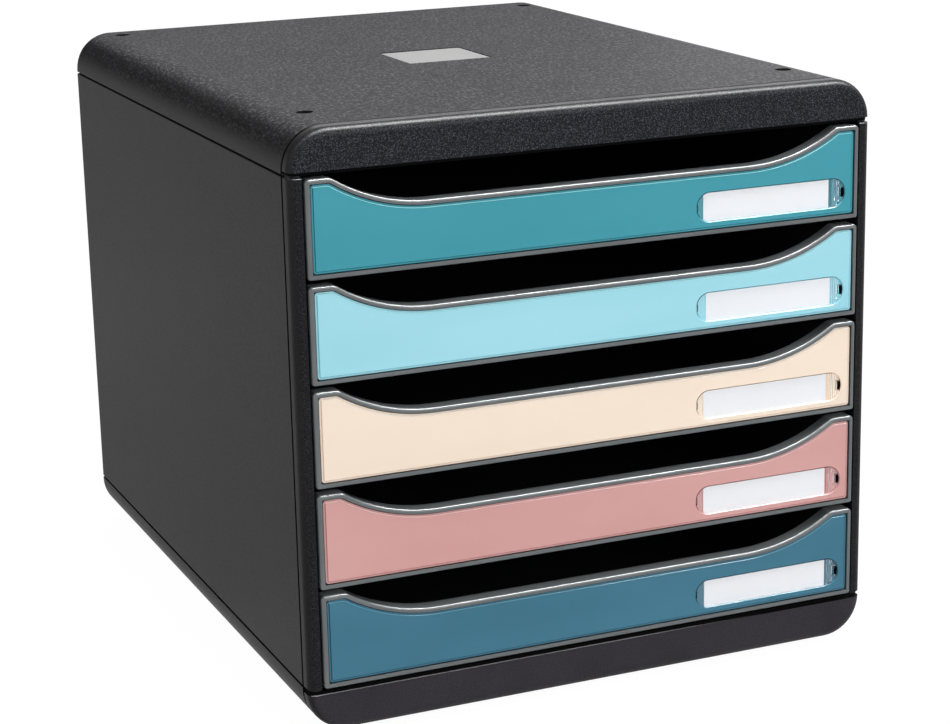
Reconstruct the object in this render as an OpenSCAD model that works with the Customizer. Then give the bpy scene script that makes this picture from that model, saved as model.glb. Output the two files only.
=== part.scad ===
// Desktop drawer unit: a moulded case with five sliding trays for sheets and small
// things. Every tray has a rolled lip with a finger dip, an inset coloured front panel,
// a paper label and a clear label window. Millimetres, +Z up, the case front faces -Y,
// and the origin lies under the middle of the unit, on the surface that it stands on.

/* [Case] */
// Depth of the case, without the tray fronts that stand proud of it
case_d = 345.7; // [320:0.1:380]
// Wall thickness of the case mouldings
wall = 2.5; // [2:0.1:3]
// Radius of the long rounded edges of the top and base covers
corner_r = 18.6; // [14:0.1:20]
// Straight height of a cover between its rounding and the seam
skirt_h = 1; // [0.8:0.1:3]
// Radius of the edges round the front face of the case
edge_r = 4; // [2:0.1:4.5]
// Radius of the edges round the rear face of the case
rear_edge_r = 2; // [1:0.1:4]
// Open gap between two case mouldings that meet at a seam
seam_gap = 0.2; // [0.1:0.05:0.4]
// Height of the shadow slot along both ends of a side panel
slot_h = 0.8; // [0.4:0.1:1.2]
// Depth of the shadow slot
slot_d = 1.2; // [0.6:0.1:1.4]
// Bevel along the outer edge of the shadow slot
slot_bevel = 0.3; // [0.2:0.05:0.5]
// Height of the recessed strip beside the seam round the front of a cover
strip_h = 1.5; // [0.8:0.1:2]
// Depth of the recessed strip
strip_d = 1; // [0.5:0.1:1.4]

/* [Shadow groove] */
// Distance of the groove behind the front face of the case
groove_setback = 8.5; // [6:0.1:10]
// Width of the groove
groove_w = 1.8; // [0.8:0.1:2.4]
// Depth of the groove
groove_deep = 1.4; // [0.8:0.1:1.4]

/* [Name plate seat] */
// Width of the shallow seat in the top, left to right
seat_w = 42.8; // [30:0.1:60]
// Length of the seat, front to rear
seat_l = 41.8; // [30:0.1:60]
// Depth of the seat
seat_deep = 0.5; // [0.3:0.1:0.8]
// Radius of the seat's corners
seat_r = 1.4; // [0.8:0.1:3]
// Distance of the seat's middle to the right of the unit's middle
seat_x = -3.1; // [-30:0.1:30]
// Distance of the seat's middle to the rear of the unit's middle
seat_y = -1.7; // [-30:0.1:30]

/* [Front columns] */
// Width of a column beside the tray fronts
column_w = 5.8; // [5:0.1:8]
// Depth of a column, front to rear
column_d = 16; // [12:0.5:24]
// Gap between a column and the tray fronts
column_gap = 1; // [0.5:0.1:1.5]

/* [Tray fronts] */
// Width of a tray front
front_w = 264.4; // [250:0.1:300]
// Height of a tray front
front_h = 42.6; // [40:0.1:60]
// Gap between two tray fronts
front_gap = 2.85; // [2:0.05:4]
// Gap between the outermost tray fronts and the seams
end_gap = 1.4; // [1:0.1:3]
// How far the tray fronts stand proud of the case
front_proud = 1.3; // [0.5:0.1:3]
// Radius of the upper corners of a tray front
front_corner_r = 2; // [1.6:0.1:4]
// Radius of the lower corners of a tray front
low_corner_r = 1.2; // [1.2:0.1:2.4]
// Width of the grey border round a front panel
border = 2; // [1.6:0.1:2.2]

/* [Finger dip] */
// Depth of the dip below the top of the tray front
dip_deep = 13.328; // [8:0.001:16]
// Radius of the concave sweep on each side of the dip
dip_r = 80; // [60:1:90]
// Radius of the convex knee above each sweep
knee_r = 5; // [4.5:0.1:8]
// Distance of the knee's upper end from the middle of the tray front
knee_half = 122.3; // [110:0.1:124]

/* [Rolled lip] */
// Depth of the lip, front to rear
lip_d = 8; // [6:0.1:10]
// Height of the lip's rear turn-down
lip_turn = 3.5; // [2.5:0.1:4]
// Thickness of the lip
lip_t = 1.8; // [1.4:0.1:2]
// Radius of the lip's front edge
lip_front_r = 1.1; // [0.5:0.1:1.2]
// Radius of the lip's rear edge
lip_rear_r = 1.1; // [0.5:0.1:1.2]

/* [Front panels] */
// Thickness of a front panel
panel_t = 2.4; // [2:0.1:3]
// How far the panel lies behind the foremost edge of the border
panel_set = 0.5; // [0.2:0.1:1]
// Gap all round a panel inside the border
panel_fit = 0.3; // [0.2:0.05:0.5]
// Gap behind a panel in its seat
panel_gap = 0.1; // [0.05:0.05:0.2]
// Radius of the corners of a panel
panel_corner_r = 1.6; // [1.4:0.1:2]
// Width of the ledge round the raised face of a panel
panel_ledge = 0.95; // [0.6:0.05:1]
// Height of the raised face above the ledge
panel_step = 0.35; // [0.2:0.05:0.4]
// Bevel along the outer edge of the ledge
panel_bevel = 0.2; // [0.1:0.05:0.4]

/* [Labels] */
// Length of a label window, which has round ends
window_w = 75.8; // [60:0.1:80]
// Height of a label window
window_h = 13.2; // [10:0.1:16]
// Distance of the window's right end from the right edge of the tray front
window_in = 6.7; // [5.5:0.1:12]
// Height of the window's lower edge above the bottom of the tray front
window_up = 5.9; // [4.5:0.1:8]
// Thickness of the clear window
window_t = 1.1; // [0.8:0.1:1.3]
// Gap round the window in its pocket
window_fit = 0.15; // [0.1:0.05:0.3]
// Bevel round the mouth of the window pocket
pocket_bevel = 0.35; // [0.2:0.05:0.5]
// Thickness of a label card
card_t = 0.35; // [0.2:0.05:0.5]
// Play between pocket, card and window, front to rear
label_gap = 0.05; // [0.03:0.01:0.1]
// Length of a label card
card_w = 64; // [50:0.1:66]
// Distance between the grip grooves at the window's right end
grip_pitch = 0.95; // [0.8:0.05:1.2]
// Width and depth of a grip groove
grip_groove = 0.3; // [0.2:0.05:0.4]
// Number of grip grooves
grip_count = 4; // [3:1:6]
// Height of the slot at the window's right end
notch_h = 4.6; // [3:0.1:6]
// Width of the slot at the window's right end
notch_w = 2.2; // [1:0.1:2.5]

/* [Trays] */
// Outside width of a tray below its flanges
tray_w = 255.4; // [240:0.1:256]
// Height of a tray's walls above the bottom of its front
tray_top = 38; // [34:0.1:40]
// Height of a tray's underside above the bottom of its front
tray_low = 1.2; // [0.8:0.1:3]
// Wall and floor thickness of a tray
tray_t = 1.8; // [1.4:0.1:2.4]
// Radius of a tray's rear corners
tray_corner_r = 6; // [4:0.5:12]
// Gap between a tray's rear wall and the back panel
tray_rear_gap = 2.5; // [1:0.5:6]
// Distance that a tray slides out before its lugs meet the columns
travel = 250; // [200:1:260]
// Length of a stop lug
lug_l = 8; // [5:0.5:12]
// Gap between a stop lug and the side panel
lug_gap = 0.7; // [0.4:0.1:1.2]
// Gap between a stop lug and the column when a tray is fully out
stop_gap = 0.3; // [0.3:0.1:1]

/* [Runners] */
// Running gap above and below a tray flange
run_gap = 0.3; // [0.3:0.05:0.6]
// Gap between a runner shelf and the tray wall
shelf_gap = 0.6; // [0.4:0.1:1]
// Thickness of a runner shelf
shelf_t = 2; // [1.5:0.1:2.5]
// Thickness of the upright ribs between the runners
rib_t = 1.6; // [1:0.1:2.5]
// Height of the upright ribs off the side panel
rib_h = 2; // [1:0.1:3]

/* [Back panel] */
// Thickness of the back panel
back_t = 2.5; // [2:0.1:3]
// Distance of the back panel in front of the case's rear face
back_set = 4; // [3.2:0.1:8]
// Gap round the back panel in its slots
back_fit = 0.3; // [0.2:0.05:0.6]

/* [Screws and feet] */
// Distance of the screws from the side faces of the case
screw_in = 22.2; // [20:0.1:28]
// Distance of the front screws behind the front face of the case
screw_front = 40.5; // [30:0.5:60]
// Distance of the rear screws in front of the rear face of the case
screw_rear = 16; // [15:0.5:30]
// Radius of a screw recess
recess_r = 3.8; // [3.4:0.1:4.5]
// Depth of a screw recess
recess_deep = 3; // [2.4:0.1:4]
// Radius of a screw head
head_r = 3; // [2.5:0.1:3.2]
// Height of a screw head
head_h = 1.8; // [1.4:0.1:2.2]
// Radius of a screw shank
shank_r = 1.5; // [1.2:0.1:1.8]
// Radial gap round a screw shank
shank_gap = 0.05; // [0.03:0.01:0.1]
// Wall thickness of a screw boss
boss_t = 2.4; // [1.6:0.1:3]
// Thickness of the ears that the screws hold
ear_t = 2.5; // [2:0.1:3]
// Distance of the ears from the seam
ear_low = 0.9; // [0.6:0.1:1.2]
// Height of the feet below the case
foot_h = 4.6; // [3:0.1:8]
// Radius of a foot
foot_r = 8; // [6:0.1:10]
// Depth of a foot's seat in the base cover
foot_seat = 0.8; // [0.5:0.1:1]
// Distance of the feet from the side faces of the case
foot_in = 31; // [28:0.5:50]
// Distance of the front feet behind the front face of the case
foot_front = 20; // [16:0.5:24]
// Distance of the rear feet in front of the rear face of the case
foot_rear = 36; // [34:0.5:60]

/* [Stiffening] */
// Height of the ribs inside the covers
cover_rib_h = 6; // [3:0.5:8]
// Height of the ledges and tongues that hold the covers on the side panels
tongue_h = 3; // [2:0.1:3]
// Thickness of the tongues
tongue_t = 2; // [1.5:0.1:2.5]
// Gap between a tongue and the side wall of a cover
tongue_gap = 0.6; // [0.4:0.1:1]

/* [Hidden] */
$fn = 64;
// Fragments of the round edges in sections, the same in straight runs and in bends
section_fn = 64;

// Number of trays, from the top down
tray_count = 5;
// Overshoot of every cut past the surface that it opens
spill = 1;
// Reach of inner details into the wall that they grow from
bite = 0.5;

// Case sizes that follow from the tray fronts
case_w = front_w + 2 * (column_gap + column_w);
pitch = front_h + front_gap;
stack_h = tray_count * front_h + (tray_count - 1) * front_gap + 2 * end_gap;
cover_rise = corner_r + skirt_h;
case_h = stack_h + 2 * cover_rise;
case_half = case_w / 2;
inner_half = case_half - wall;

// Places along the depth, from the foremost plane of the unit
unit_d = case_d + front_proud;
front_y = -unit_d / 2;
case_front_y = front_y + front_proud;
case_rear_y = unit_d / 2;
back_y = case_rear_y - back_set - back_t;

// Heights
low_seam_z = foot_h + cover_rise;
high_seam_z = low_seam_z + stack_h;
case_top_z = foot_h + case_h;
function tray_z(n) = low_seam_z + end_gap + (tray_count - n) * pitch;

// Angle of the dip's sweeps where they meet the knees, and the flat between them
dip_angle = acos(1 - dip_deep / (dip_r + knee_r));
dip_flat_half = knee_half - (dip_r + knee_r) * sin(dip_angle);
dip_z = front_h - dip_deep;
// Place where the outer edge passes from knee to sweep
meet_x = knee_half - knee_r * sin(dip_angle);
meet_z = front_h - knee_r + knee_r * cos(dip_angle);

// Depths in a tray front, behind its foremost plane
panel_seat = panel_set + panel_t + panel_gap;
wall_rear = panel_seat + tray_t;

// Window pocket in a front panel
pocket_deep = card_t + window_t + 3 * label_gap;
window_x = front_w / 2 - window_in - window_w / 2;
window_z = window_up + window_h / 2;
// Small sideways play of the cards, as they lie in their windows
card_shift = [-2.2, -0.7, -1.9, -1.7, -1.1];

// Tray flanges and the runners that carry them
flange_half = front_w / 2;
flange_z = tray_top - tray_t;
lug_half = inner_half - lug_gap;
lug_y = front_proud + column_d + stop_gap + travel;
tray_rear = back_y - front_y - tray_rear_gap;
shelf_half = tray_w / 2 + shelf_gap;

// Screw places in plan, and the heights of their ears and heads inside a cover
screw_x = case_half - screw_in;
screw_ys = [case_front_y + screw_front, case_rear_y - screw_rear];
ear_top = ear_low + ear_t;
boss_r = recess_r + boss_t / 2;
foot_x = case_half - foot_in;
foot_ys = [case_front_y + foot_front, case_rear_y - foot_rear];
tongue_half = inner_half - tongue_gap;

// Colours
case_colour = "#2c2c2f";
frame_colour = "#70757a";
panel_colours = ["#4896a3", "#a0dae6", "#f4e2d3", "#d4a29f", "#46768c"];

// ---- Helpers: a drawing seen from the front, and edges that carry a section ----

// Stands a front view up: x stays, y becomes height, z comes towards the user
module front_view(y = 0) {
    translate([0, y, 0])
        rotate([90, 0, 0])
            children();
}

// Section x runs inward from an edge, section y comes out of the drawing
module low_edge(length) {
    rotate([90, 0, 90])
        linear_extrude(length)
            children();
}

module high_edge(length) {
    mirror([0, 1, 0])
        low_edge(length)
            children();
}

module right_edge(length) {
    translate([0, length, 0])
        mirror([1, 0, 0])
            rotate([90, 0, 0])
                linear_extrude(length)
                    children();
}

// Bend round the outside of a corner of radius r
module outer_bend(r, from, angle) {
    rotate([0, 0, from])
        rotate_extrude(angle = angle)
            intersection() {
                translate([r, 0])
                    mirror([1, 0])
                        children();
                translate([0, -front_h])
                    square([2 * front_h, 2 * front_h]);
            }
}

// Bend round the inside of a corner of radius r
module inner_bend(r, from, angle) {
    rotate([0, 0, from])
        rotate_extrude(angle = angle)
            translate([r, 0])
                children();
}

// Section of what a rounded edge of radius r takes away, at depth y
module round_off(r) {
    difference() {
        translate([-spill, -r])
            square([r + spill, r + spill]);
        translate([r, -r])
            circle(r = r, $fn = section_fn);
    }
}

// Section of what the shadow slot takes away beside a seam
module slot_off() {
    lift = spill / 5;
    polygon([[-spill, lift], [slot_d, lift], [slot_d, -slot_h], [slot_bevel, -slot_h],
             [-spill, -slot_h - slot_bevel - spill]]);
}

// Rectangle with four round corners, from its lower left corner
module round_rect(w, h, r) {
    translate([r, 0])
        square([w - 2 * r, h]);
    translate([0, r])
        square([w, h - 2 * r]);
    for (x = [r, w - r])
        for (y = [r, h - r])
            translate([x, y])
                circle(r = r);
}

// Box given by its corners, where each entry is a pair of limits
module span_box(x, y, z) {
    translate([x[0], y[0], z[0]])
        cube([x[1] - x[0], y[1] - y[0], z[1] - z[0]]);
}

// ---- Case: covers and side panels ----

// Front view of a cover above its seam, drawn inward by inset
module cover_outline(inset) {
    half = case_half - inset;
    r = corner_r - inset;
    translate([-half, -spill])
        square([2 * half, skirt_h + spill]);
    translate([r - half, -spill])
        square([2 * (half - r), cover_rise - inset + spill]);
    intersection() {
        for (side = [-1, 1])
            translate([side * (half - r), skirt_h])
                circle(r = r);
        translate([-half, -spill])
            square([2 * half, case_h]);
    }
}

// Carries a section round a cover's outline, from one seam over to the other
module along_cover() {
    for (side = [0, 1])
        mirror([side, 0, 0]) {
            translate([case_half, -spill, 0])
                right_edge(skirt_h + spill)
                    children();
            translate([case_half - corner_r, skirt_h, 0])
                outer_bend(corner_r, 0, 90)
                    children();
            translate([0, cover_rise, 0])
                high_edge(case_half - corner_r)
                    children();
        }
}

// Plan of the case, from the middle of its front face
module case_plan() {
    translate([-case_half, edge_r])
        square([case_w, case_d - edge_r - rear_edge_r]);
    translate([edge_r - case_half, 0])
        square([case_w - 2 * edge_r, case_d / 2]);
    translate([rear_edge_r - case_half, case_d / 2])
        square([case_w - 2 * rear_edge_r, case_d / 2]);
    for (side = [-1, 1]) {
        translate([side * (case_half - edge_r), edge_r])
            circle(r = edge_r);
        translate([side * (case_half - rear_edge_r), case_d - rear_edge_r])
            circle(r = rear_edge_r);
    }
}

// Carries a section round the plan of the case
module along_plan() {
    translate([edge_r - case_half, 0, 0])
        low_edge(case_w - 2 * edge_r)
            children();
    translate([rear_edge_r - case_half, case_d, 0])
        high_edge(case_w - 2 * rear_edge_r)
            children();
    for (side = [0, 1])
        mirror([side, 0, 0]) {
            translate([case_half, edge_r, 0])
                right_edge(case_d - edge_r - rear_edge_r)
                    children();
            translate([case_half - edge_r, edge_r, 0])
                outer_bend(edge_r, -90, 90)
                    children();
            translate([case_half - rear_edge_r, case_d - rear_edge_r, 0])
                outer_bend(rear_edge_r, 0, 90)
                    children();
        }
}

// What the recessed strip takes away, from shadow groove to shadow groove
module strip_cut() {
    intersection() {
        translate([0, case_front_y, 0])
            along_plan()
                translate([-spill, -spill])
                    square([strip_d + spill, strip_h + spill]);
        span_box([-case_w, case_w], [-unit_d, case_front_y + groove_setback],
                 [-cover_rise, cover_rise]);
    }
}

// Top cover standing on the plane z = 0, which is the seam
module cover_shell() {
    difference() {
        front_view(case_front_y)
            translate([0, 0, -case_d])
                linear_extrude(case_d)
                    cover_outline(0);
        front_view(case_front_y)
            along_cover()
                round_off(edge_r);
        front_view(case_rear_y)
            mirror([0, 0, 1])
                along_cover()
                    round_off(rear_edge_r);
        front_view(case_front_y)
            along_cover()
                translate([-spill, -groove_setback - groove_w / 2])
                    square([groove_deep + spill, groove_w]);
        front_view(case_front_y)
            translate([0, 0, wall - case_d])
                linear_extrude(case_d - 2 * wall)
                    cover_outline(wall);
        translate([-case_w, -case_d, seam_gap / 2 - 2 * spill])
            cube([2 * case_w, 2 * case_d, 2 * spill]);
        strip_cut();
    }
}

// Stiffening ribs under a cover's skin
module cover_ribs() {
    skin = cover_rise - wall;
    span = case_half - corner_r;
    for (i = [-1:1])
        translate([i * span / 2 - rib_t / 2, case_front_y + wall, skin - cover_rib_h])
            cube([rib_t, case_d - 2 * wall, cover_rib_h]);
    for (i = [1:3])
        translate([-span, case_front_y + i * case_d / 4 - rib_t / 2, skin - cover_rib_h])
            cube([2 * span, rib_t, cover_rib_h]);
}

module at_screws() {
    for (side = [-1, 1])
        for (y = screw_ys)
            translate([side * screw_x, y, 0])
                children();
}

// Cover with its bosses, ribs and screw holes
module cover() {
    difference() {
        union() {
            cover_shell();
            cover_ribs();
            at_screws()
                translate([0, 0, ear_top + seam_gap])
                    cylinder(r = boss_r, h = cover_rise - wall / 2 - ear_top - seam_gap);
        }
        at_screws() {
            translate([0, 0, cover_rise - recess_deep])
                cylinder(r = recess_r, h = recess_deep + spill);
            cylinder(r = shank_r + shank_gap, h = cover_rise);
        }
    }
}

module top_cover() {
    color(case_colour)
        difference() {
            translate([0, 0, high_seam_z])
                cover();
            translate([seat_x - seat_w / 2, seat_y - seat_l / 2, case_top_z - seat_deep])
                linear_extrude(seat_deep + spill)
                    round_rect(seat_w, seat_l, seat_r);
        }
}

module base_cover() {
    color(case_colour)
        difference() {
            translate([0, 0, low_seam_z])
                mirror([0, 0, 1])
                    cover();
            at_feet()
                translate([0, 0, foot_h - spill])
                    cylinder(r = foot_r + seam_gap, h = foot_seat + spill);
        }
}

// Block between the seams, with the case's plan and a shadow slot at both ends
module seam_block() {
    height = stack_h - seam_gap;
    translate([0, case_front_y, 0])
        difference() {
            translate([0, 0, seam_gap / 2])
                linear_extrude(height)
                    case_plan();
            translate([0, 0, seam_gap / 2])
                mirror([0, 0, 1])
                    along_plan()
                        slot_off();
            translate([0, 0, stack_h - seam_gap / 2])
                along_plan()
                    slot_off();
        }
}

// Ledge, tongue and two screw ears along the upper end of the right side panel
module side_head() {
    rear = back_y - back_fit;
    root = tongue_half - tongue_t;
    span_box([root, inner_half + bite], [case_front_y + wall, rear],
             [stack_h - tongue_h - rib_t, stack_h - seam_gap / 2]);
    span_box([root, tongue_half], [case_front_y + wall + back_fit, rear],
             [stack_h - tongue_h, stack_h + tongue_h]);
    for (y = screw_ys)
        translate([0, y, stack_h + ear_low])
            difference() {
                union() {
                    span_box([screw_x, root + tongue_t / 2], [-boss_r, min(boss_r, rear - y)],
                             [0, ear_t]);
                    translate([screw_x, 0, 0])
                        cylinder(r = boss_r, h = ear_t);
                }
                translate([screw_x, 0, -spill])
                    cylinder(r = shank_r + shank_gap, h = ear_t + 2 * spill);
            }
}

// Two shelves that a tray flange runs between, at the height of tray n
module runner(n) {
    z = tray_z(n) - low_seam_z;
    y = [case_front_y + column_d - spill, back_y - back_fit];
    low = z + flange_z - run_gap;
    high = z + tray_top + run_gap;
    span_box([shelf_half, inner_half + bite], y, [low - shelf_t, low]);
    span_box([shelf_half, inner_half + bite], y, [high, high + shelf_t]);
}

// Upright ribs between two runners, or from the lowest runner to the ledge
module side_ribs(n) {
    low = n == tray_count
        ? tongue_h
        : tray_z(n + 1) - low_seam_z + tray_top + run_gap;
    high = tray_z(n) - low_seam_z + flange_z - run_gap;
    length = back_y - case_front_y - column_d;
    for (i = [1:3])
        span_box([inner_half - rib_h, inner_half + bite],
                 [case_front_y + column_d + i * length / 4 - rib_t / 2,
                  case_front_y + column_d + i * length / 4 + rib_t / 2],
                 [low, high]);
}

// Right side panel standing on the plane z = 0, which is the lower seam
module side_panel() {
    difference() {
        intersection() {
            seam_block();
            union() {
                span_box([inner_half, case_w], [-unit_d, unit_d], [-spill, case_h]);
                span_box([case_half - column_w, case_w], [-unit_d, case_front_y + column_d],
                         [-spill, case_h]);
                span_box([case_half - column_w, case_w], [back_y + back_t + back_fit, unit_d],
                         [-spill, case_h]);
            }
        }
        span_box([case_half - groove_deep, case_w],
                 [case_front_y + groove_setback - groove_w / 2,
                  case_front_y + groove_setback + groove_w / 2],
                 [-spill, case_h]);
    }
    side_head();
    translate([0, 0, stack_h])
        mirror([0, 0, 1])
            side_head();
    for (n = [1:tray_count]) {
        runner(n);
        side_ribs(n);
    }
    // Stop rib in front of the back panel
    span_box([case_half - column_w, inner_half + bite],
             [back_y - back_fit - rib_t, back_y - back_fit],
             [tongue_h, stack_h - tongue_h]);
}

module right_side_panel() {
    color(case_colour)
        translate([0, 0, low_seam_z])
            side_panel();
}

module left_side_panel() {
    color(case_colour)
        translate([0, 0, low_seam_z])
            mirror([1, 0, 0])
                side_panel();
}

module back_panel() {
    half = tongue_half - back_fit;
    color(case_colour)
        translate([-half, back_y, low_seam_z - tongue_h])
            cube([2 * half, back_t, stack_h + 2 * tongue_h]);
}

// ---- Screws and feet ----

// Screw with its head up, standing on the underside of its head
module screw(length) {
    slot_w = shank_r / 2;
    difference() {
        union() {
            cylinder(r = head_r, h = head_h / 2);
            translate([0, 0, head_h / 2])
                cylinder(r1 = head_r, r2 = head_r * 0.7, h = head_h / 2);
            translate([0, 0, -length])
                cylinder(r = shank_r, h = length + head_h / 2);
        }
        for (turn = [0, 90])
            rotate([0, 0, turn])
                translate([-head_r * 0.55, -slot_w / 2, head_h / 2])
                    cube([head_r * 1.1, slot_w, head_h]);
    }
}

module screws_of_cover() {
    head_z = cover_rise - recess_deep;
    at_screws()
        translate([0, 0, head_z])
            screw(head_z - ear_low);
}

module top_screws() {
    color("#3a3a3d")
        translate([0, 0, high_seam_z])
            screws_of_cover();
}

module base_screws() {
    color("#3a3a3d")
        translate([0, 0, low_seam_z])
            mirror([0, 0, 1])
                screws_of_cover();
}

module at_feet() {
    for (side = [-1, 1])
        for (y = foot_ys)
            translate([side * foot_x, y, 0])
                children();
}

module feet() {
    tread = foot_h / 4;
    color("#1b1b1c")
        at_feet() {
            cylinder(r1 = foot_r - tread, r2 = foot_r, h = tread);
            translate([0, 0, tread])
                cylinder(r = foot_r, h = foot_h + foot_seat - tread);
        }
}

// ---- Trays ----

// Straight-sided front view, drawn inward by inset, that stays within the edge
// carried round a tray front
module core_outline(inset) {
    half = front_w / 2 - inset;
    top = front_h - inset;
    r = dip_r + inset;
    sweep = [for (k = [4:-1:0]) k / 4.5 * dip_angle];
    right = [[half, inset], [half, top], [knee_half, top],
             for (a = sweep) [dip_flat_half + r * sin(a), dip_z + dip_r - r * cos(a)]];
    left = [for (k = [len(right) - 1:-1:0]) [-right[k][0], right[k][1]]];
    polygon(concat(right, left));
}

// Keeps the knee's side (1) or the sweep's side (0) of the plane where the two meet
module up_to_meeting(knee_side) {
    intersection() {
        children();
        translate([meet_x, meet_z, 0])
            rotate([0, 0, dip_angle])
                translate([(knee_side - 1) * dip_r, -dip_r / 2, -dip_r / 2])
                    cube(dip_r);
    }
}

// Carries a section round a tray front drawn inward by inset, with the radii of the
// lower and upper corners
module along_front(inset, low_r, high_r) {
    half = front_w / 2 - inset;
    top = front_h - inset;
    translate([low_r - half, inset, 0])
        low_edge(2 * (half - low_r))
            children();
    translate([-dip_flat_half, dip_z - inset, 0])
        high_edge(2 * dip_flat_half)
            children();
    for (side = [0, 1])
        mirror([side, 0, 0]) {
            translate([half - low_r, inset + low_r, 0])
                outer_bend(low_r, -90, 90)
                    children();
            translate([half, inset + low_r, 0])
                right_edge(top - inset - low_r - high_r)
                    children();
            translate([half - high_r, top - high_r, 0])
                outer_bend(high_r, 0, 90)
                    children();
            translate([knee_half, top, 0])
                high_edge(half - high_r - knee_half)
                    children();
            up_to_meeting(1)
                translate([knee_half, front_h - knee_r, 0])
                    outer_bend(knee_r - inset, 90, dip_angle + 10)
                        children();
            up_to_meeting(0)
                translate([dip_flat_half, dip_z + dip_r, 0])
                    inner_bend(dip_r + inset, -90, dip_angle + 5, $fn = 360)
                        children();
        }
}

// Section of the rolled lip: the border in front, the roll's top and its turn-down
module lip_section() {
    difference() {
        translate([0, -lip_d])
            square([lip_turn, lip_d]);
        round_off(lip_front_r);
        translate([0, -lip_d])
            mirror([0, 1])
                round_off(lip_rear_r);
        translate([border, -panel_seat])
            square([lip_turn, panel_seat + spill]);
        translate([lip_t, lip_t - lip_d])
            square([lip_turn, lip_d - lip_t - panel_seat]);
    }
}

// Plan of a tray with round rear corners, from the front wall's face
module tray_plan(inset) {
    half = tray_w / 2 - inset;
    r = tray_corner_r - inset;
    rear = tray_rear - inset;
    translate([-half, panel_seat])
        square([2 * half, rear - r - panel_seat]);
    translate([r - half, panel_seat])
        square([2 * (half - r), rear - panel_seat]);
    for (side = [-1, 1])
        translate([side * (half - r), rear - r])
            circle(r = r);
}

// Flange along the right wall of a tray, with its stop lug
module tray_flange() {
    translate([0, 0, flange_z]) {
        span_box([tray_w / 2 - tray_t, flange_half],
                 [lip_d + lip_t, tray_rear - tray_corner_r], [0, tray_t]);
        linear_extrude(tray_t)
            polygon([[flange_half - spill, lug_y], [lug_half, lug_y],
                     [lug_half, lug_y + lug_l / 2], [flange_half - spill, lug_y + lug_l]]);
    }
}

// Tray from the middle of its front's lower edge, with its foremost plane at y = 0
module tray() {
    // Front wall behind the panel
    front_view(wall_rear)
        linear_extrude(tray_t)
            core_outline(lip_t / 2);
    // Lip and border
    front_view()
        along_front(0, low_corner_r, front_corner_r)
            lip_section();
    // Floor and walls
    difference() {
        translate([0, 0, tray_low])
            linear_extrude(tray_top - tray_low)
                tray_plan(0);
        translate([0, 0, tray_low + tray_t])
            linear_extrude(tray_top)
                tray_plan(tray_t);
    }
    for (side = [0, 1])
        mirror([side, 0, 0])
            tray_flange();
}

// Puts a piece of tray n where the tray stands when it is closed
module at_tray(n) {
    translate([0, front_y, tray_z(n)])
        children();
}

module tray_at(n) {
    color(frame_colour)
        at_tray(n)
            tray();
}

// ---- Front panels and labels ----

// Front view of a label window, drawn inward by inset
module window_outline(inset) {
    r = window_h / 2 - inset;
    reach = (window_w - window_h) / 2;
    translate([-reach, -r])
        square([2 * reach, 2 * r]);
    for (side = [-1, 1])
        translate([side * reach, 0])
            circle(r = r);
}

// Carries a section round the window's outline
module along_window() {
    r = window_h / 2;
    reach = (window_w - window_h) / 2;
    translate([-reach, -r, 0])
        low_edge(2 * reach)
            children();
    translate([-reach, r, 0])
        high_edge(2 * reach)
            children();
    translate([reach, 0, 0])
        outer_bend(r, -90, 180)
            children();
    translate([-reach, 0, 0])
        outer_bend(r, 90, 180)
            children();
}

// Section of the bevel that widens the mouth of the window pocket
module mouth_off() {
    c = pocket_bevel;
    lift = spill / 5;
    polygon([[lift, lift], [-c - lift, lift], [0, -c], [lift, -c]]);
}

// Section of a front panel's edge: ledge, step and a little of the raised face
module panel_edge() {
    core = panel_ledge + 3 * panel_step;
    polygon([[0, -panel_t], [core, -panel_t], [core, 0], [panel_ledge + panel_step, 0],
             [panel_ledge, -panel_step], [panel_bevel, -panel_step],
             [0, -panel_step - panel_bevel]]);
}

// Front view with the middle of the label window at the origin
module at_window() {
    translate([window_x, window_z, 0])
        children();
}

// Front view of the slot at the window's right end
module notch_outline() {
    translate([window_w / 2 - notch_w, -notch_h / 2])
        square([notch_w, notch_h]);
}

module front_panel() {
    inset = border + panel_fit;
    core_in = panel_ledge + 2 * panel_step;
    front_view(panel_set)
        difference() {
            union() {
                translate([0, 0, -panel_t])
                    linear_extrude(panel_t)
                        core_outline(inset + core_in);
                along_front(inset, panel_corner_r, panel_corner_r)
                    panel_edge();
            }
            at_window() {
                translate([0, 0, -pocket_deep])
                    linear_extrude(pocket_deep + spill)
                        window_outline(0);
                along_window()
                    mouth_off();
                translate([0, 0, -panel_t - spill])
                    linear_extrude(panel_t + spill)
                        intersection() {
                            window_outline(window_fit);
                            notch_outline();
                        }
            }
        }
}

module label_card(n) {
    reach = card_w / 2;
    front_view(panel_set + pocket_deep)
        at_window()
            translate([0, 0, label_gap])
                linear_extrude(card_t)
                    intersection() {
                        window_outline(window_fit);
                        translate([card_shift[n - 1] - reach, -window_h / 2])
                            square([card_w, window_h]);
                    }
}

module label_window() {
    front_view(panel_set + pocket_deep - card_t - 2 * label_gap)
        at_window()
            difference() {
                linear_extrude(window_t)
                    window_outline(window_fit);
                for (i = [1:grip_count])
                    translate([window_w / 2 - notch_w - i * grip_pitch - grip_groove / 2,
                               -window_h / 2, -spill])
                        cube([grip_groove, window_h, grip_groove + spill]);
                translate([0, 0, -spill])
                    linear_extrude(window_t + 2 * spill)
                        notch_outline();
                translate([-window_w / 2, -notch_h / 3, -spill])
                    cube([notch_w / 3, notch_h * 2 / 3, window_t + 2 * spill]);
            }
}

module front_panel_at(n) {
    color(panel_colours[n - 1])
        at_tray(n)
            front_panel();
}

module label_card_at(n) {
    color("#eeeef3")
        at_tray(n)
            label_card(n);
}

module label_window_at(n) {
    color("#dfe8ea", 0.35)
        at_tray(n)
            label_window();
}

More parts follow.
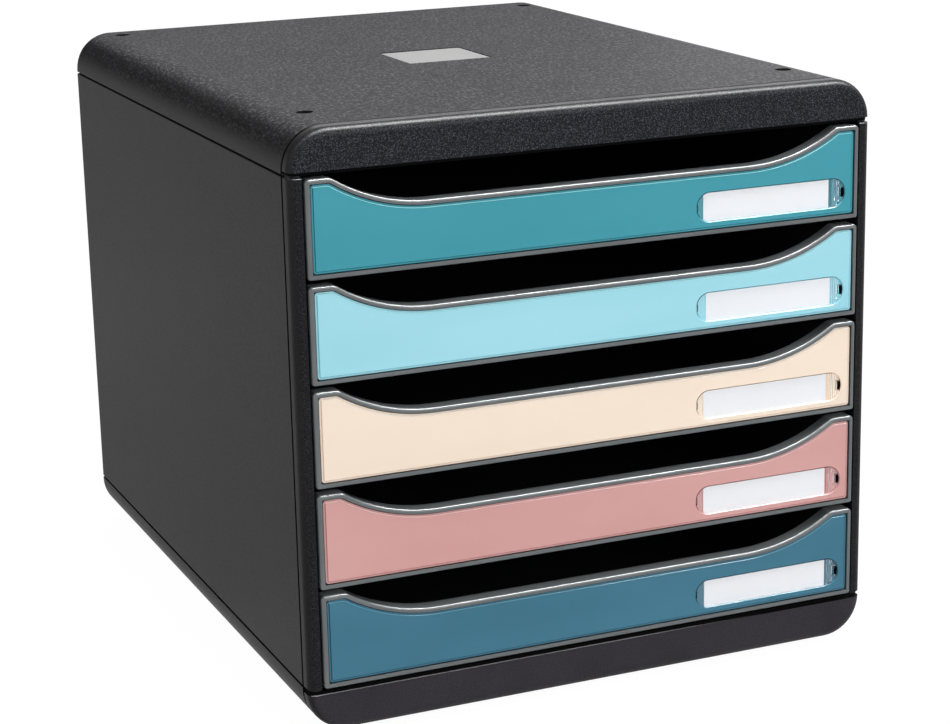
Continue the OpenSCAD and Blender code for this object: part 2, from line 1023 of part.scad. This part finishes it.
top_cover();
base_cover();
left_side_panel();
right_side_panel();
back_panel();
feet();
top_screws();
base_screws();
tray_at(1);  // tray_1
tray_at(2);  // tray_2
tray_at(3);  // tray_3
tray_at(4);  // tray_4
tray_at(5);  // tray_5
front_panel_at(1);  // front_panel_1
front_panel_at(2);  // front_panel_2
front_panel_at(3);  // front_panel_3
front_panel_at(4);  // front_panel_4
front_panel_at(5);  // front_panel_5
label_card_at(1);  // label_card_1
label_card_at(2);  // label_card_2
label_card_at(3);  // label_card_3
label_card_at(4);  // label_card_4
label_card_at(5);  // label_card_5
label_window_at(1);  // label_window_1
label_window_at(2);  // label_window_2
label_window_at(3);  // label_window_3
label_window_at(4);  // label_window_4
label_window_at(5);  // label_window_5
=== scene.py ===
import math

import bmesh
import bpy
from mathutils import Matrix, Vector


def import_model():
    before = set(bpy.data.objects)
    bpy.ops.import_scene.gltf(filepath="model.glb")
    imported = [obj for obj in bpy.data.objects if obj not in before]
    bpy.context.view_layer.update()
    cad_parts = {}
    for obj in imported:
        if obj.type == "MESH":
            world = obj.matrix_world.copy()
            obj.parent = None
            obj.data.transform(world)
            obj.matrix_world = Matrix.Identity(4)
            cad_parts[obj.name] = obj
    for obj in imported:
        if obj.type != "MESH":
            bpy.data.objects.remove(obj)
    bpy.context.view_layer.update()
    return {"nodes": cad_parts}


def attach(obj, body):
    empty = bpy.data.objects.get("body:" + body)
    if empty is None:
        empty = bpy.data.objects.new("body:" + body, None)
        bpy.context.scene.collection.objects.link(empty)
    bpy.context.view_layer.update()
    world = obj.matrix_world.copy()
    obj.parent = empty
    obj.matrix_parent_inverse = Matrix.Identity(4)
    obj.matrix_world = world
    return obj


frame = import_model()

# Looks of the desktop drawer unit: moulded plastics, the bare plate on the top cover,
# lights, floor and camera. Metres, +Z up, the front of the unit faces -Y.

nodes = frame["nodes"]
MM = 0.001

# Places that the looks follow, in millimetres, as the CAD nodes have them
CASE_FRONT = -172.2
GROOVE_Y = CASE_FRONT + 8.5  # middle of the shadow groove round the covers
TOP_Z = 271.0
SEAMS = (24.2, 251.4)  # edges of the base cover and of the top cover
STRIP_HALF = 0.8  # half the height of the recessed strips beside the seams
FRONT_Y = -173.5  # front of the trays
PANEL_Y = FRONT_Y + 0.5  # face of the coloured panels
LIP_REAR_Y = FRONT_Y + 8.0
TRAY_COUNT = 5
TRAY_PITCH = 45.45
LOWEST_WINDOW_Z = 38.1  # middle of the lowest label window
WINDOW_X = (48.8, 126.1)  # left and right end of the zone round a label window
CARD_END_X, GRIP_X = 115.75, 119.3  # right of the card, and where the grip grooves begin
GRIP_PITCH = 0.95
SLOT_X, SLOT_HALF = 123.2, 2.4  # slot at the right end of the window


def rgb(r, g, b):
    """Linear colour of an sRGB colour given in 0 to 255."""
    def linear(v):
        v /= 255
        return v / 12.92 if v <= 0.04045 else ((v + 0.055) / 1.055) ** 2.4
    return (linear(r), linear(g), linear(b), 1.0)


class Look:
    """One procedural material with a Principled shader, built node by node."""

    def __init__(self, name, roughness=0.5, ior=1.49, specular=0.5):
        self.material = bpy.data.materials.new(name)
        self.material.use_nodes = True
        self.tree = self.material.node_tree
        self.shader = self.tree.nodes["Principled BSDF"]
        self.set("Roughness", roughness)
        self.set("IOR", ior)
        self.set("Specular IOR Level", specular)
        self._place = None

    def node(self, kind, **settings):
        """New shader node of a kind, with its settings."""
        made = self.tree.nodes.new("ShaderNode" + kind)
        for key, value in settings.items():
            setattr(made, key, value)
        return made

    def feed(self, socket, value):
        """Links a node's output to a socket, or sets a plain value on it."""
        if hasattr(value, "is_output"):
            self.tree.links.new(value, socket)
        else:
            socket.default_value = value

    def set(self, name, value):
        """Feeds one socket of the Principled shader."""
        self.feed(self.shader.inputs[name], value)

    def place(self):
        """Place in the part, in metres, as the piece stands at rest."""
        if self._place is None:
            self._place = self.node("TexCoord")
        return self._place.outputs["Object"]

    def normal(self):
        """Direction of the surface, as the piece stands at rest."""
        self.place()
        return self._place.outputs["Normal"]

    def axis(self, vector, name):
        """One component of a vector."""
        split = self.node("SeparateXYZ")
        self.feed(split.inputs[0], vector)
        return split.outputs[name]

    def maths(self, operation, a, b=0.0, c=0.0):
        """Result of one Math node."""
        made = self.node("Math", operation=operation)
        for socket, value in zip(made.inputs, (a, b, c)):
            self.feed(socket, value)
        return made.outputs[0]

    def step(self, value, low, high, out_low=0.0, out_high=1.0):
        """Smooth passage from out_low at low to out_high at high."""
        made = self.node("MapRange", interpolation_type="SMOOTHSTEP", clamp=True)
        for socket, number in zip(made.inputs, (value, low, high, out_low, out_high)):
            self.feed(socket, number)
        return made.outputs[0]

    def mix(self, share, a, b):
        """Colour a at share 0 and colour b at share 1."""
        made = self.node("Mix", data_type="RGBA")
        self.feed(made.inputs["Factor"], share)
        self.feed(made.inputs[6], a)
        self.feed(made.inputs[7], b)
        return made.outputs[2]

    def blend(self, share, a, b):
        """Number a at share 0 and number b at share 1."""
        made = self.node("Mix", data_type="FLOAT")
        self.feed(made.inputs["Factor"], share)
        self.feed(made.inputs[2], a)
        self.feed(made.inputs[3], b)
        return made.outputs[0]

    def noise(self, size, detail=2.0, roughness=0.5, stretch=None):
        """Noise between 0 and 1 whose features are about size millimetres wide."""
        made = self.node("TexNoise")
        vector = self.place()
        if stretch:
            scaled = self.node("VectorMath", operation="MULTIPLY")
            self.feed(scaled.inputs[0], vector)
            self.feed(scaled.inputs[1], stretch)
            vector = scaled.outputs[0]
        self.feed(made.inputs["Vector"], vector)
        self.feed(made.inputs["Scale"], 1 / (size * MM))
        self.feed(made.inputs["Detail"], detail)
        self.feed(made.inputs["Roughness"], roughness)
        return made.outputs[0]

    def specks(self, size, low, high):
        """Dots of uneven size and strength, about size millimetres apart."""
        made = self.node("TexVoronoi", feature="F1")
        self.feed(made.inputs["Vector"], self.place())
        self.feed(made.inputs["Scale"], 1 / (size * MM))
        dot = self.step(made.outputs["Distance"], high, low)
        return self.times(dot, self.axis(made.outputs["Color"], "X"))

    def times(self, *factors):
        """Product of two or more factors."""
        product = factors[0]
        for factor in factors[1:]:
            product = self.maths("MULTIPLY", product, factor)
        return product

    def off(self, value, middle):
        """Distance of a value from the middle."""
        return self.maths("ABSOLUTE", self.maths("SUBTRACT", value, middle))

    def crevice(self, reach, low, high):
        """Share of shade in narrow gaps, within reach millimetres of other surfaces."""
        made = self.node("AmbientOcclusion", samples=8)
        self.feed(made.inputs["Distance"], reach * MM)
        return self.step(made.outputs["AO"], high, low)

    def bump(self, height, distance, strength):
        """Relief of distance millimetres between heights 0 and 1."""
        made = self.node("Bump")
        self.feed(made.inputs["Height"], height)
        self.feed(made.inputs["Distance"], distance * MM)
        self.feed(made.inputs["Strength"], strength)
        self.set("Normal", made.outputs[0])


# ---- Case plastic ----

RIM_SHEEN = (rgb(90, 89, 94), rgb(132, 130, 136))  # painted sheen on the top of the front zone, before its rounding
CREST_HIGHLIGHT = (rgb(52, 52, 58), rgb(116, 116, 122))  # painted highlight along the upper edge of the front
GROOVE_SHADE = (rgb(6, 6, 7), rgb(96, 96, 98))  # painted shade in the groove, on the sides, and lighter where it crosses the top
LEDGE_HIGHLIGHT = rgb(196, 194, 198)  # painted highlight line on the base's front


def case_plastic(name, side, edge, top, front):
    """Black moulded plastic. Each zone has the dark and the light tone of its grain: fine
    and matt on the sides, leathery on the long rounded edges and the top, and on the front
    flecked with light specks that are painted glints. The lighter tones given to the zones
    that face up stand in for sheen, as painted reflection, and the material paints highlights
    on the front's upper edge and on the base's ledge, and shade in the groove and in the
    strips beside the seams."""
    look = Look(name, specular=0.11)
    normal = look.normal()
    up = look.axis(normal, "Z")
    forward = look.times(look.axis(normal, "Y"), -1.0)
    x = look.axis(look.place(), "X")
    y = look.axis(look.place(), "Y")
    z = look.axis(look.place(), "Z")
    # The front zone begins at the shadow groove
    in_front = look.step(y, (GROOVE_Y + 0.3) * MM, (GROOVE_Y - 0.3) * MM)
    front_zone = look.times(in_front, look.step(forward, 0.72, 0.97))
    top_zone = look.step(up, 0.7, 0.995)
    leather = look.step(look.noise(1.25, 3.0, 0.65, stretch=(1.0, 0.5, 1.0)), 0.46, 0.7)
    fine = look.step(look.noise(0.6, 2.0, 0.6), 0.3, 0.7)
    glint_specks = look.specks(0.62, 0.15, 0.55)
    behind = look.maths("SUBTRACT", 1.0, in_front)
    tone = look.mix(look.times(look.step(up, 0.15, 0.6), behind),
                    look.mix(fine, *side), look.mix(leather, *edge))
    tone = look.mix(look.times(top_zone, behind), tone, look.mix(leather, *top))
    # Painted sheen on the flat top of the front zone, before its rounding
    rim_sheen = look.times(in_front, look.step(up, 0.93, 0.985), 0.9)
    tone = look.mix(rim_sheen, tone, look.mix(fine, *RIM_SHEEN))
    tone = look.mix(front_zone, tone, look.mix(fine, front[0], front[1]))
    # Light specks on the front are painted glints
    tone = look.mix(look.times(front_zone, glint_specks), tone, front[2])
    # Painted highlight along the front's upper edge
    crest_highlight = look.step(look.off(forward, 0.68), 0.2, 0.04)
    crest_highlight = look.times(crest_highlight, look.step(up, 0.4, 0.62), in_front, 0.9)
    tone = look.mix(crest_highlight, tone, look.mix(glint_specks, *CREST_HIGHLIGHT))
    # Painted shade deep in the groove, a little lighter where it crosses the top
    groove_shade = look.step(look.off(y, GROOVE_Y * MM), 1.0 * MM, 0.85 * MM)
    on_top = look.step(z, (TOP_Z - 2.5) * MM, (TOP_Z - 0.5) * MM)
    tone = look.mix(groove_shade, tone, look.mix(on_top, *GROOVE_SHADE))
    # Painted shade in the recessed strips beside the seams
    from_strips = look.maths("MINIMUM", look.off(z, (SEAMS[0] - STRIP_HALF) * MM),
                             look.off(z, (SEAMS[1] + STRIP_HALF) * MM))
    strip_shade = look.step(from_strips, STRIP_HALF * MM, (STRIP_HALF - 0.1) * MM)
    strip_shade = look.times(strip_shade, in_front)
    tone = look.mix(strip_shade, tone, rgb(0, 0, 0))
    # Painted highlight on the ledge below the lower strip, weaker towards the right
    ledge_highlight = look.times(look.step(y, (CASE_FRONT + 1.6) * MM, (CASE_FRONT + 1.1) * MM),
                          look.step(up, 0.8, 0.95),
                          look.step(z, (SEAMS[0] - 1.2) * MM, (SEAMS[0] - 1.3) * MM),
                          look.step(x, 90 * MM, 10 * MM))
    tone = look.mix(ledge_highlight, tone, LEDGE_HIGHLIGHT)
    cloud = look.step(look.noise(28, 3.0, 0.55), 0.3, 0.7, 0.9, 1.1)
    shaded = look.node("VectorMath", operation="SCALE")
    look.feed(shaded.inputs[0], tone)
    look.feed(shaded.inputs["Scale"], cloud)
    look.set("Base Color", shaded.outputs[0])
    rough = look.blend(front_zone, look.blend(top_zone, 0.5, 0.4), 0.3)
    rough = look.blend(strip_shade, look.blend(crest_highlight, rough, 0.27), 1.0)
    look.set("Roughness", look.maths("ADD", rough, look.step(fine, 0.0, 1.0, -0.05, 0.05)))
    relief = look.blend(top_zone, look.times(fine, 0.3), leather)
    relief = look.times(relief, look.blend(top_zone, 1.0, 2.4))
    look.bump(look.blend(look.maths("MAXIMUM", front_zone, crest_highlight), relief, glint_specks), 0.06, 0.9)
    return look.material


# ---- Other plastics, paper and rubber ----

def tray_plastic():
    """Semi-gloss grey polystyrene, matt inside the tray, with painted shade inside it, in narrow
    gaps and on the wall behind the panel, and a painted highlight on faces that look up.
    """
    look = Look("tray_grey_plastic", specular=0.5)
    y = look.axis(look.place(), "Y")
    inside = look.step(y, (LIP_REAR_Y - 1.2) * MM, (LIP_REAR_Y + 0.4) * MM)
    fine = look.noise(0.5, 3.0, 0.6)
    cloud = look.noise(22, 2.0)
    grey = look.mix(look.step(cloud, 0.3, 0.7), rgb(90, 95, 97), rgb(98, 103, 105))
    # Painted shade for the inside of the tray
    dark = look.mix(fine, rgb(14, 14, 15), rgb(20, 20, 21))
    # Painted highlight on faces that look up
    up = look.step(look.axis(look.normal(), "Z"), 0.85, 0.98)
    grey = look.mix(up, grey, rgb(122, 127, 129))
    # Painted shade in narrow gaps
    grey = look.mix(look.crevice(0.8, 0.3, 0.75), grey, rgb(18, 20, 22))
    # The wall behind the panel shows only through the slot at the label window, and gets painted
    # shade
    behind = look.step(y, (FRONT_Y + 2.4) * MM, (FRONT_Y + 2.7) * MM)
    behind = look.times(behind, look.step(look.axis(look.normal(), "Y"), -0.6, -0.9))
    grey = look.mix(behind, grey, rgb(10, 14, 30))
    look.set("Base Color", look.mix(inside, grey, dark))
    rough = look.blend(inside, look.step(fine, 0.2, 0.8, 0.12, 0.19), 0.6)
    look.set("Roughness", rough)
    look.bump(fine, 0.01, 0.35)
    return look.material


def panel_plastic(name, low, high, glint, window_z):
    """Glossy dyed polystyrene with faint flow marks from the gate. Painted highlight and shade on
    the step round the raised face, and painted shade in narrow gaps, on the floor of the window's
    pocket beside the card and in lines at the fine grip grooves right of it, and in the slot at its
    end."""
    look = Look(name, specular=0.3)
    flow = look.noise(60, 2.0, 0.5, stretch=(0.5, 1.0, 1.6))
    fine = look.noise(0.7, 2.0)
    tone = look.mix(look.step(flow, 0.3, 0.7), low, high)
    x = look.axis(look.place(), "X")
    y = look.axis(look.place(), "Y")
    z = look.axis(look.place(), "Z")
    up = look.step(look.axis(look.normal(), "Z"), 0.3, 0.6)
    from_window = look.off(z, window_z * MM)
    off_window = look.maths("MAXIMUM", look.step(from_window, 7.0 * MM, 7.4 * MM),
                            look.step(x, (WINDOW_X[0] + 0.2) * MM, (WINDOW_X[0] - 0.2) * MM))
    off_window = look.maths("MAXIMUM", off_window,
                            look.step(x, (WINDOW_X[1] - 0.2) * MM, (WINDOW_X[1] + 0.2) * MM))
    # A deeper tone of the panel's own colour, for painted shade
    deep = look.node("Gamma")
    look.feed(deep.inputs["Color"], tone)
    look.feed(deep.inputs["Gamma"], 1.7)
    deep = deep.outputs[0]
    # Painted highlight on the step round the raised face where it faces up, and painted shade on
    # its flanks
    on_step = look.times(look.step(y, (PANEL_Y + 0.02) * MM, (PANEL_Y + 0.06) * MM),
                         look.step(y, (PANEL_Y + 0.34) * MM, (PANEL_Y + 0.3) * MM))
    flank = look.times(on_step, look.maths("SUBTRACT", 1.0, up))
    tone = look.mix(look.times(flank, 0.85), tone, deep)
    lit = look.times(up, on_step, look.maths("MULTIPLY_ADD", off_window, 0.55, 0.45))
    tone = look.mix(lit, tone, glint)
    # Painted shade in narrow gaps, weaker round the window
    in_shade = look.times(look.crevice(1.4, 0.45, 0.9),
                          look.maths("MULTIPLY_ADD", off_window, 0.75, 0.15))
    before_pocket = look.step(y, (PANEL_Y + 0.9) * MM, (PANEL_Y + 0.6) * MM)
    tone = look.mix(look.times(in_shade, before_pocket), tone, rgb(8, 12, 14))
    # Painted shade on the pocket's floor beside the card and in lines at the grip grooves
    on_floor = look.step(y, (PANEL_Y + 1.3) * MM, (PANEL_Y + 1.5) * MM)
    beside_card = look.times(look.step(x, (CARD_END_X - 0.25) * MM, (CARD_END_X + 0.25) * MM),
                             look.step(x, (GRIP_X + 0.1) * MM, (GRIP_X - 0.2) * MM))
    grip = look.maths("SINE", look.times(x, 2 * math.pi / (GRIP_PITCH * MM)))
    grip = look.times(look.step(grip, 0.2, 0.7),
                      look.step(x, (GRIP_X - 0.1) * MM, (GRIP_X + 0.2) * MM))
    lines = look.maths("MULTIPLY_ADD", beside_card, 0.9, look.times(grip, 0.4))
    tone = look.mix(look.times(lines, on_floor), tone, deep)
    # Painted shade in the slot at the right end of the window
    in_slot = look.times(look.step(from_window, (SLOT_HALF + 0.1) * MM, (SLOT_HALF - 0.1) * MM),
                         look.step(x, (SLOT_X - 0.1) * MM, (SLOT_X + 0.1) * MM),
                         look.step(y, (PANEL_Y + 0.4) * MM, (PANEL_Y + 0.6) * MM))
    tone = look.mix(in_slot, tone, rgb(6, 8, 22))
    look.set("Base Color", tone)
    look.set("Roughness", look.step(fine, 0.25, 0.75, 0.13, 0.2))
    look.bump(look.noise(9, 1.0), 0.02, 0.25)
    return look.material


def paper():
    """Blank white card with faint fibres."""
    look = Look("label_paper_card", roughness=0.75, specular=0.3)
    fibre = look.noise(0.6, 4.0, 0.7, stretch=(0.4, 1.0, 1.0))
    look.set("Base Color", look.mix(fibre, rgb(239, 238, 242), rgb(242, 241, 245)))
    look.bump(fibre, 0.008, 0.3)
    return look.material


def clear_plastic():
    """Clear polystyrene that lets lamp light through to the card behind it."""
    look = Look("window_clear_plastic", ior=1.35, specular=0.5)
    look.set("Transmission Weight", 1.0)
    look.set("Base Color", rgb(253, 254, 254))
    haze = look.noise(4, 2.0)
    look.set("Roughness", look.step(haze, 0.3, 0.7, 0.02, 0.06))
    through = look.node("BsdfTransparent")
    look.feed(through.inputs["Color"], rgb(253, 254, 254))
    path = look.node("LightPath")
    either = look.maths("MAXIMUM", path.outputs["Is Shadow Ray"], path.outputs["Is Diffuse Ray"])
    pane = look.node("MixShader")
    look.feed(pane.inputs[0], either)
    look.feed(pane.inputs[1], look.shader.outputs[0])
    look.feed(pane.inputs[2], through.outputs[0])
    look.feed(look.tree.nodes["Material Output"].inputs["Surface"], pane.outputs[0])
    return look.material


def rubber():
    """Matt black rubber of the feet."""
    look = Look("rubber_feet_black", specular=0.3)
    fine = look.noise(0.4, 3.0, 0.7)
    look.set("Base Color", look.mix(fine, rgb(22, 22, 23), rgb(34, 34, 35)))
    look.set("Roughness", look.step(fine, 0.2, 0.8, 0.7, 0.85))
    look.bump(fine, 0.03, 0.6)
    return look.material


def screw_steel():
    """Blackened steel of the screws, lightly scratched."""
    look = Look("screw_black_oxide", specular=0.6)
    scratch = look.noise(0.5, 3.0, 0.6)
    look.set("Metallic", 0.8)
    look.set("Base Color", look.mix(scratch, rgb(40, 40, 43), rgb(84, 84, 88)))
    look.set("Roughness", look.step(scratch, 0.2, 0.8, 0.28, 0.42))
    look.bump(scratch, 0.02, 0.4)
    return look.material


def dress(node, material):
    """Gives a CAD node one material in all its slots."""
    slots = nodes[node].data.materials
    for i in range(max(len(slots), 1)):
        if slots:
            slots[i] = material
        else:
            slots.append(material)


# Dark and light tone of the case plastic's grain, zone by zone. The rounded edges and the top are
# lighter than the sides as painted sheen; the front's third tone is that of its specks, painted
# glints
SIDE = (rgb(12, 12, 12), rgb(30, 30, 30))
EDGE = (rgb(10, 10, 11), rgb(58, 57, 61))
TOP = (rgb(20, 19, 22), rgb(119, 117, 124))
cover_look = case_plastic("case_cover_plastic", SIDE, EDGE, TOP,
                          (rgb(4, 6, 10), rgb(30, 32, 38), rgb(86, 88, 95)))
# The base's front is lighter than the cover's, as painted reflection of the pale floor
base_look = case_plastic("case_base_plastic", SIDE, SIDE, SIDE,
                         (rgb(42, 40, 45), rgb(48, 46, 51), rgb(54, 52, 57)))
side_look = case_plastic("case_side_plastic", SIDE, SIDE, SIDE,
                         (rgb(10, 10, 12), rgb(26, 26, 28), rgb(54, 54, 57)))
dress("top_cover", cover_look)
dress("base_cover", base_look)
for name in ("left_side_panel", "right_side_panel", "back_panel"):
    dress(name, side_look)
dress("feet", rubber())
for name in ("top_screws", "base_screws"):
    dress(name, screw_steel())
tray_look, card_look, window_look = tray_plastic(), paper(), clear_plastic()
# From the top down: name, low and high tone, and the tone of the painted highlight on the step
PANELS = [
    ("panel_teal_gloss", rgb(54, 147, 162), rgb(61, 152, 168), rgb(176, 252, 255)),
    ("panel_light_blue_gloss", rgb(156, 216, 230), rgb(163, 221, 234), rgb(186, 250, 255)),
    ("panel_cream_gloss", rgb(244, 225, 207), rgb(248, 229, 211), rgb(255, 250, 240)),
    ("panel_pink_gloss", rgb(208, 155, 152), rgb(213, 162, 159), rgb(250, 214, 212)),
    ("panel_petrol_gloss", rgb(52, 109, 132), rgb(59, 116, 139), rgb(108, 168, 192)),
]
for n in range(1, TRAY_COUNT + 1):
    window_z = LOWEST_WINDOW_Z + (TRAY_COUNT - n) * TRAY_PITCH
    dress(f"tray_{n}", tray_look)
    dress(f"front_panel_{n}", panel_plastic(*PANELS[n - 1], window_z))
    dress(f"label_card_{n}", card_look)
    dress(f"label_window_{n}", window_look)


# ---- Bare plate in the recess of the top cover ----

PLATE_X, PLATE_Y = -0.0031, -0.0017
PLATE_HALF_X, PLATE_HALF_Y = 0.0212, 0.0207
PLATE_CORNER = 0.0012
PLATE_LOW, PLATE_HIGH = 0.2705, 0.27065
PLATE_BEVEL = 0.00005
CORNER_STEPS = 6


def top_plate():
    """Thin plate with bevelled edges and round corners, bare of any marking."""
    made = bmesh.new()

    def ring(inset, z):
        points = []
        for corner, (sx, sy) in enumerate(((1, 1), (-1, 1), (-1, -1), (1, -1))):
            x = PLATE_X + sx * (PLATE_HALF_X - PLATE_CORNER)
            y = PLATE_Y + sy * (PLATE_HALF_Y - PLATE_CORNER)
            reach = PLATE_CORNER - inset
            for step in range(CORNER_STEPS + 1):
                turn = math.radians(90 * corner + 90 / CORNER_STEPS * step)
                points.append((x + reach * math.cos(turn), y + reach * math.sin(turn), z))
        return [made.verts.new(point) for point in points]

    rings = [ring(0, PLATE_LOW), ring(0, PLATE_HIGH - PLATE_BEVEL),
             ring(PLATE_BEVEL, PLATE_HIGH)]
    count = len(rings[0])
    for under, over in zip(rings, rings[1:]):
        for i in range(count):
            made.faces.new((under[i], under[(i + 1) % count], over[(i + 1) % count], over[i]))
    made.faces.new(rings[-1])
    made.faces.new(list(reversed(rings[0])))
    mesh = bpy.data.meshes.new("top_plate")
    made.to_mesh(mesh)
    made.free()
    plate = bpy.data.objects.new("top_plate", mesh)
    bpy.context.scene.collection.objects.link(plate)
    look = Look("plate_brushed_silver", specular=0.25)
    brush = look.noise(0.6, 4.0, 0.7, stretch=(0.06, 1.0, 1.0))
    look.set("Base Color", look.mix(brush, rgb(178, 178, 178), rgb(210, 210, 209)))
    look.set("Roughness", look.step(brush, 0.25, 0.75, 0.4, 0.55))
    look.bump(brush, 0.01, 0.4)
    mesh.materials.append(look.material)
    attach(plate, "case")


top_plate()

# ---- Floor, world and lamps ----

FLOOR_HALF = 9.0
FLOOR_GLOW, GLOW_SHARE = 1.13, 0.85


def sheet(name, corners):
    """Flat object with four corners."""
    mesh = bpy.data.meshes.new(name)
    mesh.from_pydata(corners, [], [(0, 1, 2, 3)])
    made = bpy.data.objects.new(name, mesh)
    bpy.context.scene.collection.objects.link(made)
    return made


def floor():
    """Plain pale floor that takes the shadow, with a glow that whitens what the camera sees."""
    half = FLOOR_HALF
    plane = sheet("floor", [(-half, -half, 0), (half, -half, 0), (half, half, 0), (-half, half, 0)])
    look = Look("floor_pale", roughness=0.9, specular=0.1)
    look.set("Base Color", rgb(236, 236, 236))
    glow = look.node("Emission")
    look.feed(glow.inputs["Color"], (1, 1, 1, 1))
    look.feed(glow.inputs["Strength"], FLOOR_GLOW)
    path = look.node("LightPath")
    seen = look.maths("MAXIMUM", path.outputs["Is Camera Ray"], path.outputs["Is Glossy Ray"])
    seen = look.maths("MAXIMUM", seen, path.outputs["Is Transmission Ray"])
    both = look.node("MixShader")
    look.feed(both.inputs[0], look.times(seen, GLOW_SHARE))
    look.feed(both.inputs[1], look.shader.outputs[0])
    look.feed(both.inputs[2], glow.outputs[0])
    look.feed(look.tree.nodes["Material Output"].inputs["Surface"], both.outputs[0])
    plane.data.materials.append(look.material)


def world(level):
    """World that is white where it is seen, and lights the object at a lower level."""
    made = bpy.data.worlds.new("studio")
    made.use_nodes = True
    bpy.context.scene.world = made
    tree = made.node_tree
    shade = tree.nodes["Background"]
    shade.inputs["Color"].default_value = (1, 1, 1, 1)
    path = tree.nodes.new("ShaderNodeLightPath")
    seen = tree.nodes.new("ShaderNodeMath")
    seen.operation = "MAXIMUM"
    tree.links.new(path.outputs["Is Camera Ray"], seen.inputs[0])
    tree.links.new(path.outputs["Is Transmission Ray"], seen.inputs[1])
    both = tree.nodes.new("ShaderNodeMath")
    both.operation = "MAXIMUM"
    tree.links.new(seen.outputs[0], both.inputs[0])
    tree.links.new(path.outputs["Is Glossy Ray"], both.inputs[1])
    span = tree.nodes.new("ShaderNodeMapRange")
    tree.links.new(both.outputs[0], span.inputs["Value"])
    span.inputs["To Min"].default_value = level
    span.inputs["To Max"].default_value = 1.0
    tree.links.new(span.outputs[0], shade.inputs["Strength"])


def softbox(name, place, aim, size, watts, gleam):
    """Soft lamp. One that is a gleam adds to glossy reflection only, not to diffuse light."""
    lamp = bpy.data.lights.new(name, "AREA")
    lamp.shape = "RECTANGLE"
    lamp.size, lamp.size_y = size
    lamp.energy = watts
    made = bpy.data.objects.new(name, lamp)
    bpy.context.scene.collection.objects.link(made)
    made.location = place
    made.rotation_mode = "QUATERNION"
    made.rotation_quaternion = (Vector(aim) - Vector(place)).to_track_quat("-Z", "Y")
    made.visible_diffuse = not gleam
    made.visible_transmission = not gleam


def flag(name, corners, share):
    """Black card that glossy surfaces mirror, and that nothing else meets. At a share
    below 1 it is a net that lets the rest through."""
    card = sheet(name, corners)
    look = Look(name + "_black", roughness=1.0, specular=0.0)
    look.set("Base Color", rgb(8, 8, 8))
    clear = look.node("BsdfTransparent")
    path = look.node("LightPath")
    both = look.node("MixShader")
    look.feed(both.inputs[0], look.times(path.outputs["Is Glossy Ray"], share))
    look.feed(both.inputs[1], clear.outputs[0])
    look.feed(both.inputs[2], look.shader.outputs[0])
    look.feed(look.tree.nodes["Material Output"].inputs["Surface"], both.outputs[0])
    card.data.materials.append(look.material)


# Name, place, aim, size, watts, and whether it is only a gleam
LAMPS = [
    ("softbox_above", (0.4, -0.55, 1.7), (0, -0.1, 0.2), (1.0, 0.5), 12, False),
    ("softbox_gleam", (0.56, -0.42, 1.50), (0, -0.17, 0.2), (0.45, 1.0), 74, True),
    ("softbox_gleam_left", (-0.05, -0.45, 1.50), (-0.05, -0.17, 0.2), (0.75, 0.3), 28, True),
    ("softbox_gleam_right", (1.15, -0.45, 1.30), (0.0, -0.17, 0.2), (0.6, 0.3), 17, True),
    ("softbox_left", (-1.7, -0.5, 0.8), (0, 0, 0.15), (1.2, 1.2), 8.3, False),
    ("softbox_front", (0.7, -2.2, 0.9), (0, 0, 0.12), (1.4, 1.0), 21, False),
]
# Name, corners, and the share of light that it takes
FLAGS = [
    ("flag_left", [(-2.6, 1.6, 0.35), (-0.3, 3.0, 0.35), (-0.3, 2.6, 1.9), (-2.3, 1.3, 1.9)], 1.0),
    # Painted shadow: a dark net on the floor at the unit's left, which glossy surfaces mirror in
    # place of its shadow
    ("floor_shadow_net", [(-0.45, 0.0, 0.0006), (-0.15, 0.0, 0.0006),
                   (-0.15, 0.5, 0.0006), (-0.45, 0.5, 0.0006)], 0.2),
    ("net_left", [(-0.40, 0.75, 0.0), (-0.2, 0.75, 0.0),
                  (-0.2, 0.75, 0.25), (-0.40, 0.75, 0.25)], 0.3),
    ("flag_rear", [(-0.3, 3.0, 0.35), (1.7, 3.0, 0.35), (1.7, 3.0, 0.98), (-0.3, 3.0, 0.98)], 1.0),
]
WORLD_LEVEL = 0.3

floor()
world(WORLD_LEVEL)
for lamp_values in LAMPS:
    softbox(*lamp_values)
for flag_values in FLAGS:
    flag(*flag_values)

# ---- Camera ----

# Solved from the straight edges in the photograph: place, aim and roll
CAMERA_PLACE = Vector((-0.45173, -1.10110, 0.43736))
CAMERA_AIM = Vector((0.01521, 0.0, 0.11238))
CAMERA_ROLL = math.radians(-1.273)
FOCAL_PIXELS = 2427.7
PICTURE_WIDTH = 950  # pixels
camera = bpy.data.cameras.new("camera")
camera.sensor_width = 36.0
camera.lens = FOCAL_PIXELS * camera.sensor_width / PICTURE_WIDTH
eye = bpy.data.objects.new("camera", camera)
bpy.context.scene.collection.objects.link(eye)
gaze = (CAMERA_AIM - CAMERA_PLACE).to_track_quat("-Z", "Y").to_matrix().to_4x4()
eye.matrix_world = Matrix.Translation(CAMERA_PLACE) @ gaze @ Matrix.Rotation(CAMERA_ROLL, 4, "Z")
bpy.context.scene.camera = eye
bpy.context.scene.view_settings.view_transform = "Standard"
